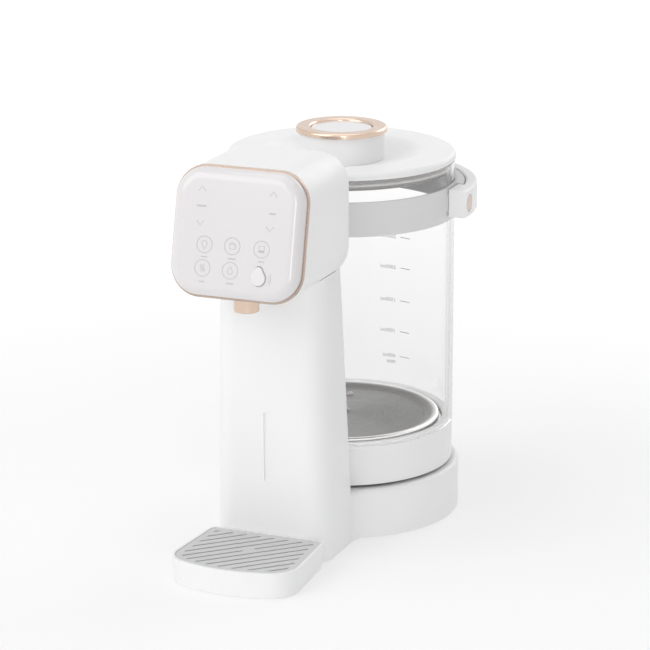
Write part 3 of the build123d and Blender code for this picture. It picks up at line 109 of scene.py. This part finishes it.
def ramp(tree, source, low, high):
    colors = add_node(tree, "ShaderNodeValToRGB")
    first, last = colors.color_ramp.elements
    first.position, last.position = 0.3, 0.7
    first.color, last.color = (*low, 1), (*high, 1)
    tree.links.new(source, colors.inputs["Fac"])
    return colors.outputs["Color"]


def bump(tree, source, shader, strength):
    node = add_node(tree, "ShaderNodeBump", {"Strength": strength, "Distance": 0.0002})
    tree.links.new(source, node.inputs["Height"])
    tree.links.new(node.outputs["Normal"], shader.inputs["Normal"])


def blend_colors(tree, share, first, second):
    """Colour that goes from the socket first to the constant second."""
    mix = add_node(tree, "ShaderNodeMix", {"B": (*second, 1)}, data_type="RGBA")
    tree.links.new(share, mix.inputs["Factor"])
    tree.links.new(first, mix.inputs["A"])
    return mix.outputs["Result"]


def spread(color, amount):
    low = tuple(max(value * (1 - amount), 0) for value in color)
    high = tuple(min(value * (1 + amount), 1) for value in color)
    return low, high


def set_color(tree, source, shader, color, amount):
    low, high = spread(color, amount)
    tree.links.new(ramp(tree, source, low, high), shader.inputs["Base Color"])


def set_roughness(tree, source, shader, low, high):
    tree.links.new(ramp(tree, source, (low,) * 3, (high,) * 3), shader.inputs["Roughness"])


def moulded(name, color, roughness, grain=0.02, coat=0.0, tone=0.012):
    """Moulded plastic: a faint cloudiness in its colour and a fine skin."""
    material, tree, shader = new_material(name)
    set_color(tree, noise(tree, 14.0, 3.0), shader, color, tone)
    set_roughness(tree, noise(tree, 60.0, 2.0), shader, roughness * 0.9, roughness * 1.12)
    bump(tree, noise(tree, 2600.0, 1.0), shader, grain)
    shader.inputs["Coat Weight"].default_value = coat
    shader.inputs["Coat Roughness"].default_value = 0.04
    return material


def metal(name, color, roughness, grain=0.05, scale=900.0):
    """Plated or turned metal with a faintly uneven polish."""
    material, tree, shader = new_material(name)
    shader.inputs["Metallic"].default_value = 1.0
    set_color(tree, noise(tree, 25.0, 3.0), shader, color, 0.03)
    set_roughness(tree, noise(tree, 140.0, 3.0), shader, roughness * 0.8, roughness * 1.25)
    bump(tree, noise(tree, scale, 2.0), shader, grain)
    return material


def axis_distance(tree):
    """Distance of a point from the jug's axis."""
    place = add_node(tree, "ShaderNodeTexCoord")
    shift = add_node(tree, "ShaderNodeVectorMath", {1: (0, jug_y, 0)}, operation="SUBTRACT")
    flat = add_node(tree, "ShaderNodeVectorMath", {1: (1, 1, 0)}, operation="MULTIPLY")
    reach = add_node(tree, "ShaderNodeVectorMath", operation="LENGTH")
    tree.links.new(place.outputs["Object"], shift.inputs[0])
    tree.links.new(shift.outputs["Vector"], flat.inputs[0])
    tree.links.new(flat.outputs["Vector"], reach.inputs[0])
    return reach.outputs["Value"]


def turned_steel(name, color, roughness, rim_highlight_color=None):
    """Steel brushed in rings about the jug's axis; where a rim colour is given, the rim is painted
    brighter as a painted highlight.
    """
    material, tree, shader = new_material(name)
    shader.inputs["Metallic"].default_value = 1.0
    reach = axis_distance(tree)
    texture = add_node(
        tree, "ShaderNodeTexNoise", {"Scale": 2200.0, "Detail": 3.0}, noise_dimensions="1D"
    )
    tree.links.new(reach, texture.inputs["W"])
    rings = texture.outputs["Fac"]
    low, high = spread(color, 0.05)
    brushed = ramp(tree, rings, low, high)
    # Past the floor the colour blends into the rim's painted highlight
    if rim_highlight_color:
        share = add_node(
            tree,
            "ShaderNodeMapRange",
            {"From Min": pan_floor_reach, "From Max": pan_crest_reach},
            interpolation_type="SMOOTHSTEP",
        )
        tree.links.new(reach, share.inputs["Value"])
        brushed = blend_colors(tree, share.outputs["Result"], brushed, rim_highlight_color)
    tree.links.new(brushed, shader.inputs["Base Color"])
    set_roughness(tree, rings, shader, roughness * 0.8, roughness * 1.3)
    bump(tree, rings, shader, 0.06)
    shader.inputs["Anisotropic"].default_value = 0.75
    turning = add_node(tree, "ShaderNodeTangent", direction_type="RADIAL", axis="Z")
    tree.links.new(turning.outputs["Tangent"], shader.inputs["Tangent"])
    return material


def clear_glass(name):
    """Clear borosilicate glass, greyer where its wall is seen edge on; lamps shine through it."""
    material, tree, shader = new_material(name)
    shader.inputs["Transmission Weight"].default_value = 1.0
    shader.inputs["IOR"].default_value = 1.22
    shader.inputs["Roughness"].default_value = 0.0
    clear = ramp(tree, noise(tree, 9.0, 2.0), (0.94, 0.94, 0.94), (0.95, 0.95, 0.95))
    edge = add_node(tree, "ShaderNodeLayerWeight", {"Blend": 0.5})
    share = add_node(tree, "ShaderNodeMapRange", {"From Min": 0.62, "From Max": 0.90})
    tree.links.new(edge.outputs["Facing"], share.inputs["Value"])
    tint = blend_colors(tree, share.outputs["Result"], clear, (0.52, 0.52, 0.525))
    tree.links.new(tint, shader.inputs["Base Color"])
    path = add_node(tree, "ShaderNodeLightPath")
    through = add_node(tree, "ShaderNodeBsdfTransparent", {"Color": (0.96, 0.96, 0.96, 1)})
    mix = add_node(tree, "ShaderNodeMixShader")
    tree.links.new(path.outputs["Is Shadow Ray"], mix.inputs["Fac"])
    tree.links.new(shader.outputs["BSDF"], mix.inputs[1])
    tree.links.new(through.outputs["BSDF"], mix.inputs[2])
    tree.links.new(mix.outputs["Shader"], tree.nodes["Material Output"].inputs["Surface"])
    return material


def rubber(name, color, roughness=0.7):
    return moulded(name, color, roughness, grain=0.12, tone=0.05)


def print_ink(name, color):
    material, tree, shader = new_material(name)
    set_color(tree, noise(tree, 900.0, 2.0), shader, color, 0.06)
    shader.inputs["Roughness"].default_value = 0.45
    return material


white = moulded("white_body", (0.86, 0.86, 0.862), 0.44, grain=0.03, coat=0.05)
# Darker copy of the white body for the collar: painted shade, standing in for the shade under the lid
collar_shaded_white = moulded("collar_shaded_white", (0.70, 0.70, 0.702), 0.42, grain=0.03, coat=0.05)
lid_white = moulded("lid_white", (0.86, 0.86, 0.862), 0.40, grain=0.02, coat=0.08)
panel_white = moulded("panel_white", (0.73, 0.71, 0.72), 0.14, grain=0.004, coat=0.6, tone=0.006)
button_white = moulded("button_white", (0.78, 0.765, 0.77), 0.12, grain=0.004, coat=0.6, tone=0.006)
rose_gold = metal("rose_gold", (0.68, 0.53, 0.43), 0.24, grain=0.02)
# Darker copy of the rose gold for the panel's thin rim: painted shade
rim_shaded_gold = metal("rim_shaded_gold", (0.42, 0.34, 0.29), 0.22, grain=0.02)
cap_gold = metal("cap_gold", (0.56, 0.46, 0.42), 0.30, grain=0.02)
# The heating plate's rim is painted near white: a painted highlight on its crest
pan_steel = turned_steel("pan_steel", (0.23, 0.226, 0.222), 0.26, rim_highlight_color=(0.95, 0.94, 0.93))
band_steel = turned_steel("band_steel", (0.33, 0.322, 0.318), 0.18)
stud_steel = metal("stud_steel", (0.50, 0.49, 0.48), 0.20)
zinc = metal("zinc_screw", (0.60, 0.61, 0.63), 0.32)
aluminium = metal("cast_aluminium", (0.66, 0.66, 0.67), 0.5, grain=0.3, scale=500.0)
glass = clear_glass("clear_glass")
grille_grey = moulded("grille_grey", (0.62, 0.62, 0.625), 0.45, grain=0.05)
pale_grey = moulded("pale_grey", (0.55, 0.55, 0.56), 0.5, grain=0.06)
dark_plastic = moulded("dark_plastic", (0.045, 0.045, 0.05), 0.45, grain=0.08, tone=0.1)
dark_rubber = rubber("dark_rubber", (0.05, 0.05, 0.052))
silicone = rubber("silicone", (0.62, 0.62, 0.61), 0.45)
board_green = moulded("board_green", (0.03, 0.16, 0.07), 0.35, grain=0.1, coat=0.4, tone=0.15)
ink = print_ink("panel_ink", (0.53, 0.512, 0.512))
tick_ink = print_ink("mark_ink", (0.30, 0.30, 0.31))
scale_ink = print_ink("scale_ink", (0.40, 0.40, 0.41))

node_materials = {
    "base_housing": white,
    "base_cover": white,
    "rubber_feet": dark_rubber,
    "cover_screws": zinc,
    "column_rear_cover": white,
    "cord_gland": pale_grey,
    "head_shell": white,
    "head_screws": zinc,
    "panel_rim": rim_shaded_gold,
    "touch_panel": panel_white,
    "control_board": board_green,
    "board_screws": zinc,
    "display_module": dark_plastic,
    "button_switch": dark_plastic,
    "button_spring": zinc,
    "spout": rose_gold,
    "pump_head": dark_plastic,
    "pump_motor": zinc,
    "water_nozzle": pale_grey,
    "nozzle_o_ring": dark_rubber,
    "inlet_hose": silicone,
    "riser_hose": silicone,
    "power_socket": dark_plastic,
    "power_board": board_green,
    "power_board_screws": zinc,
    "dispense_button": button_white,
    "drip_tray": white,
    "drip_grille": grille_grey,
    "jug_ring": white,
    "jug_glass": glass,
    "collar": collar_shaded_white,
    "pivot_screws": zinc,
    # The jug's bottom cover is dark so that the gap between the jug ring and the base shows as a dark
    # line: painted shade
    "jug_bottom_cover": dark_plastic,
    "jug_screws": zinc,
    "heating_plate": pan_steel,
    "plate_seal": dark_rubber,
    "temperature_probe": stud_steel,
    "heat_spreader": aluminium,
    "heating_element": aluminium,
    "jug_connector": dark_plastic,
    "valve_housing": pale_grey,
    "valve_spring": zinc,
    "valve_cap": pale_grey,
    "valve_gasket": silicone,
    "bail_handle": white,
    "pivot_caps": cap_gold,
    "valve_poppet": silicone,
    "lid_shell": lid_white,
    "lid_plug": band_steel,
    "lid_seal": silicone,
    "lid_knob": lid_white,
    "knob_ring": rose_gold,
    "knob_disc": panel_white,
    "knob_screw": zinc,
}
for name, node in nodes.items():
    node.data.materials.clear()
    node.data.materials.append(node_materials[name])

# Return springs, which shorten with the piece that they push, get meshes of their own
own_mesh(nodes["valve_spring"])
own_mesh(nodes["button_spring"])


# Printed lines, each a thin strip that stands on its surface
def new_object(name, mesh, material):
    mesh.materials.append(material)
    piece = bpy.data.objects.new(name, mesh)
    bpy.context.scene.collection.objects.link(piece)
    return piece


def strip(builder, sections, closed=False):
    """Solid strip through sections of four points each."""
    rows = [[builder.verts.new(point) for point in section] for section in sections]
    pairs = list(zip(rows, rows[1:]))
    if closed:
        pairs.append((rows[-1], rows[0]))
    for first, second in pairs:
        for corner in range(4):
            following = (corner + 1) % 4
            builder.faces.new((first[corner], first[following], second[following], second[corner]))
    if not closed:
        builder.faces.new(rows[0])
        builder.faces.new(reversed(rows[-1]))


def strips_object(name, builder, material):
    bmesh.ops.recalc_face_normals(builder, faces=builder.faces)
    mesh = bpy.data.meshes.new(name)
    builder.to_mesh(mesh)
    builder.free()
    return new_object(name, mesh, material)


# Marks of the touch panel, in millimetres from the middle of its face
def panel_point(x, y, height=0.0):
    across = Vector((x * MM, 0, 0)) + face_up * (y * MM)
    return face_center + across + face_normal * (panel_front + height)


def ribbon(builder, points, width, closed=False):
    """Flat printed line along points on the panel."""
    count = len(points)
    sections = []
    for index in range(count):
        if closed:
            before, after = points[index - 1], points[(index + 1) % count]
        else:
            before, after = points[max(index - 1, 0)], points[min(index + 1, count - 1)]
        along = Vector((after[0] - before[0], after[1] - before[1]))
        along.normalize()
        side = Vector((-along.y, along.x)) * width / 2
        left, right = Vector(points[index]) + side, Vector(points[index]) - side
        sections.append([
            panel_point(left.x, left.y, 0),
            panel_point(left.x, left.y, print_height),
            panel_point(right.x, right.y, print_height),
            panel_point(right.x, right.y, 0),
        ])
    strip(builder, sections, closed)


def arc(center, radius, start, end, count=40):
    turns = [radians(start + (end - start) * index / count) for index in range(count + 1)]
    return [(center[0] + radius * cos(turn), center[1] + radius * sin(turn)) for turn in turns]


def circle(center, radius, count=48):
    return arc(center, radius, 0, 360 - 360 / count, count - 1)


def panel_piece(name, lines):
    builder = bmesh.new()
    for points, width, closed in lines:
        ribbon(builder, points, width, closed)
    piece = strips_object(name, builder, ink)
    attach(piece, "stand")
    return piece


def line(*points, width=0.5, closed=False):
    return list(points), width, closed


def chevron(center, rise):
    x, y = center
    return line((x - 2.7, y - rise), (x, y + rise), (x + 2.7, y - rise), width=0.6)


def caption(center, half, width=1.0):
    x, y = center
    return line((x - half, y), (x + half, y), width=width)


panel_piece("panel_chevrons", [
    chevron((-25.5, 28.4), 1.7),
    chevron((-25.4, 5.4), -1.7),
    chevron((26.0, 28.7), 1.7),
    chevron((25.1, 5.5), -1.7),
])
panel_piece("panel_captions", [
    caption((-25.3, 16.8), 3.5, 1.2),
    caption((26.3, 15.8), 2.3, 1.2),
    caption((-20.5, -16.9), 2.2, 0.8),
    caption((-0.4, -16.6), 3.0, 0.9),
    caption((20.9, -16.6), 2.2, 0.8),
    caption((-21.1, -33.6), 2.0, 0.8),
    caption((-0.6, -33.2), 2.7, 0.9),
])
ring_places = {
    "light": (-21.0, -8.7),
    "boil": (-0.8, -8.1),
    "tray": (20.5, -8.3),
    "steam": (-21.2, -24.5),
    "warm": (-1.0, -24.5),
}
panel_piece("panel_icon_rings", [(circle(place, 5.6), 0.55, True) for place in ring_places.values()])

x, y = ring_places["light"]
panel_piece("panel_icon_light", [
    line(*arc((x, y + 0.7), 1.9, -50, 230)),
    line((x - 1.2, y - 0.8), (x - 0.8, y - 2.0)),
    line((x + 1.2, y - 0.8), (x + 0.8, y - 2.0)),
    line((x - 0.8, y - 2.4), (x + 0.8, y - 2.4)),
    line((x - 0.5, y - 3.0), (x + 0.5, y - 3.0)),
])
x, y = ring_places["boil"]
panel_piece("panel_icon_boil", [
    line((x - 1.7, y + 1.5), (x - 1.9, y - 2.0), (x + 1.9, y - 2.0), (x + 1.7, y + 1.5)),
    line((x - 2.2, y + 1.5), (x + 2.2, y + 1.5)),
    line((x - 0.6, y + 2.3), (x + 0.6, y + 2.3)),
    line(*arc((x + 1.9, y - 0.2), 1.0, -80, 80, 12), width=0.4),
])
x, y = ring_places["tray"]
panel_piece("panel_icon_tray", [
    line((x - 1.9, y + 2.1), (x + 1.9, y + 2.1), (x + 1.9, y - 2.1), (x - 1.9, y - 2.1), closed=True),
    line((x - 1.9, y - 1.3), (x + 1.9, y - 1.3), width=1.3),
])
x, y = ring_places["steam"]
panel_piece("panel_icon_steam", [
    line(*[(x + shift + 0.55 * sin(step * pi / 6), y - 2.4 + step * 0.4) for step in range(13)])
    for shift in (-1.2, 0.0, 1.2)
])
x, y = ring_places["warm"]
drop_tip = [(x + 0.5, y + 2.0), (x, y + 2.8), (x - 0.5, y + 2.0)]
panel_piece("panel_icon_warm", [line(*arc((x, y - 0.7), 1.8, 150, 390), *drop_tip, closed=True)])
button_place = (19.7, -27.7)
panel_piece("panel_button_brackets", [
    line(*arc(button_place, 9.0, -24, 24, 16)),
    line(*arc(button_place, 7.8, -18, 18, 16), width=0.35),
])

# Volume marks on the back of the glass, read from behind, at these heights in millimetres
marks = {"2500ml": 184.2, "2000ml": 160.4, "1500ml": 134.8, "1000ml": 110.6, "600ml": 91.0}
min_height = 86.0 * MM
tick_start = 16.3 * MM
tick_end = 25.0 * MM
tick_width = 0.45 * MM
tick_steps = 8


def glass_point(along, height, out):
    """Point on the glass, by its distance along the wall from the middle of its back."""
    turn = pi / 2 - along / glass_radius
    reach = glass_radius + print_gap + out
    return Vector((reach * cos(turn), jug_y + reach * sin(turn), height))


builder = bmesh.new()
for height in marks.values():
    low = height * MM - tick_width / 2
    high = height * MM + tick_width / 2
    sections = []
    for index in range(tick_steps + 1):
        along = tick_start + (tick_end - tick_start) * index / tick_steps
        sections.append([
            glass_point(along, high, 0),
            glass_point(along, high, print_height),
            glass_point(along, low, print_height),
            glass_point(along, low, 0),
        ])
    strip(builder, sections)
ticks = strips_object("volume_ticks", builder, tick_ink)
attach(ticks, "jug")


def wrapped_text(name, text, start, height, size):
    """Lettering of the scale, bent onto the glass and read from outside."""
    curve = bpy.data.curves.new(name, "FONT")
    curve.body = text
    curve.size = size
    curve.space_character = 1.08
    curve.resolution_u = 3
    holder = bpy.data.objects.new(name + "_text", curve)
    bpy.context.scene.collection.objects.link(holder)
    bpy.context.view_layer.update()
    view = bpy.context.evaluated_depsgraph_get()
    mesh = bpy.data.meshes.new_from_object(holder.evaluated_get(view))
    bpy.data.objects.remove(holder)
    low = height - size * 0.34
    for vertex in mesh.vertices:
        vertex.co = glass_point(start - vertex.co.x, low + vertex.co.y, print_height)
    mesh.materials.clear()
    piece = new_object(name, mesh, scale_ink)
    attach(piece, "jug")


for text, height in marks.items():
    wrapped_text("volume_" + text, text, 12.4 * MM, height * MM, 4.1 * MM)
wrapped_text("volume_min", "MIN", 12.6 * MM, min_height, 4.0 * MM)


# Floor, world and lamps
def larger(tree, first, second):
    node = add_node(tree, "ShaderNodeMath", operation="MAXIMUM")
    tree.links.new(first, node.inputs[0])
    tree.links.new(second, node.inputs[1])
    return node.outputs[0]


def seen_rays(tree):
    """1 for rays of the camera, of gloss and through glass."""
    rays = add_node(tree, "ShaderNodeLightPath").outputs
    return larger(
        tree, larger(tree, rays["Is Camera Ray"], rays["Is Glossy Ray"]), rays["Is Transmission Ray"]
    )


def by_distance(tree, source, near, far):
    """A value that goes from near to far as a point of the floor leaves the object."""
    fade = add_node(
        tree,
        "ShaderNodeMapRange",
        {"From Min": 0.22, "From Max": 1.1, "To Min": near, "To Max": far},
        interpolation_type="SMOOTHSTEP",
    )
    tree.links.new(source, fade.inputs["Value"])
    return fade.outputs["Result"]


# The floor takes the shadows near the object and glows by itself towards the white of the backdrop
floor_half = 6
floor_tone = 0.55
unseen_glow = (0.42, 0.85)
seen_glow = (0.40, 1.03)
floor_material, tree, shader = new_material("floor")
shader.inputs["Roughness"].default_value = 0.9
place = add_node(tree, "ShaderNodeTexCoord")
length = add_node(tree, "ShaderNodeVectorMath", operation="LENGTH")
tree.links.new(place.outputs["Object"], length.inputs[0])
reach = length.outputs["Value"]
tree.links.new(by_distance(tree, reach, floor_tone, 0.0), shader.inputs["Base Color"])
shown = add_node(tree, "ShaderNodeMapRange")
tree.links.new(seen_rays(tree), shown.inputs["Value"])
tree.links.new(by_distance(tree, reach, *unseen_glow), shown.inputs["To Min"])
tree.links.new(by_distance(tree, reach, *seen_glow), shown.inputs["To Max"])
glow = add_node(tree, "ShaderNodeEmission")
tree.links.new(shown.outputs["Result"], glow.inputs["Strength"])
both = add_node(tree, "ShaderNodeAddShader")
tree.links.new(shader.outputs["BSDF"], both.inputs[0])
tree.links.new(glow.outputs["Emission"], both.inputs[1])
tree.links.new(both.outputs["Shader"], tree.nodes["Material Output"].inputs["Surface"])

floor_mesh = bpy.data.meshes.new("floor")
floor_corners = [(-1, -1), (1, -1), (1, 1), (-1, 1)]
floor_mesh.from_pydata(
    [(x * floor_half, y * floor_half, 0) for x, y in floor_corners],
    [],
    [(0, 1, 2, 3)],
)
floor = new_object("floor", floor_mesh, floor_material)

# The world lights the part a little more from the left; it is seen as plain white
world_light = (0.40, 0.74)
world_side = Vector((-0.75, -0.45, 0.2)).normalized()
world = bpy.data.worlds.new("studio")
bpy.context.scene.world = world
world.use_nodes = True
tree = world.node_tree
cast = tree.nodes["Background"]
cast.inputs["Color"].default_value = (1, 1, 1, 1)
seen = add_node(tree, "ShaderNodeBackground", {"Color": (1, 1, 1, 1), "Strength": 1.0})
place = add_node(tree, "ShaderNodeTexCoord")
side = add_node(tree, "ShaderNodeVectorMath", {1: world_side}, operation="DOT_PRODUCT")
tree.links.new(place.outputs["Generated"], side.inputs[0])
slope = add_node(
    tree, "ShaderNodeMapRange", {"From Min": -1.0, "To Min": world_light[0], "To Max": world_light[1]}
)
tree.links.new(side.outputs["Value"], slope.inputs["Value"])
tree.links.new(slope.outputs["Result"], cast.inputs["Strength"])
mix = add_node(tree, "ShaderNodeMixShader")
tree.links.new(seen_rays(tree), mix.inputs["Fac"])
tree.links.new(cast.outputs["Background"], mix.inputs[1])
tree.links.new(seen.outputs["Background"], mix.inputs[2])
tree.links.new(mix.outputs["Shader"], tree.nodes["World Output"].inputs["Surface"])


def area_lamp(name, place, aim, size, power):
    data = bpy.data.lights.new(name, "AREA")
    data.shape = "RECTANGLE"
    data.size, data.size_y = size
    data.energy = power
    lamp = bpy.data.objects.new(name, data)
    lamp.location = place
    lamp.rotation_euler = (Vector(aim) - Vector(place)).to_track_quat("-Z", "Y").to_euler()
    bpy.context.scene.collection.objects.link(lamp)


area_lamp("key", (-1.3, -1.9, 1.7), (0, -0.02, 0.14), (2.2, 2.2), 22)
area_lamp("top", (0.0, 0.1, 2.1), (0, 0, 0.15), (1.6, 1.6), 7)
area_lamp("front", (1.1, -2.1, 0.5), (0, 0, 0.12), (0.45, 1.7), 9)
area_lamp("back", (0.7, 2.3, 1.3), (0, 0, 0.12), (1.8, 1.2), 13)

bpy.context.scene.view_settings.view_transform = "Standard"
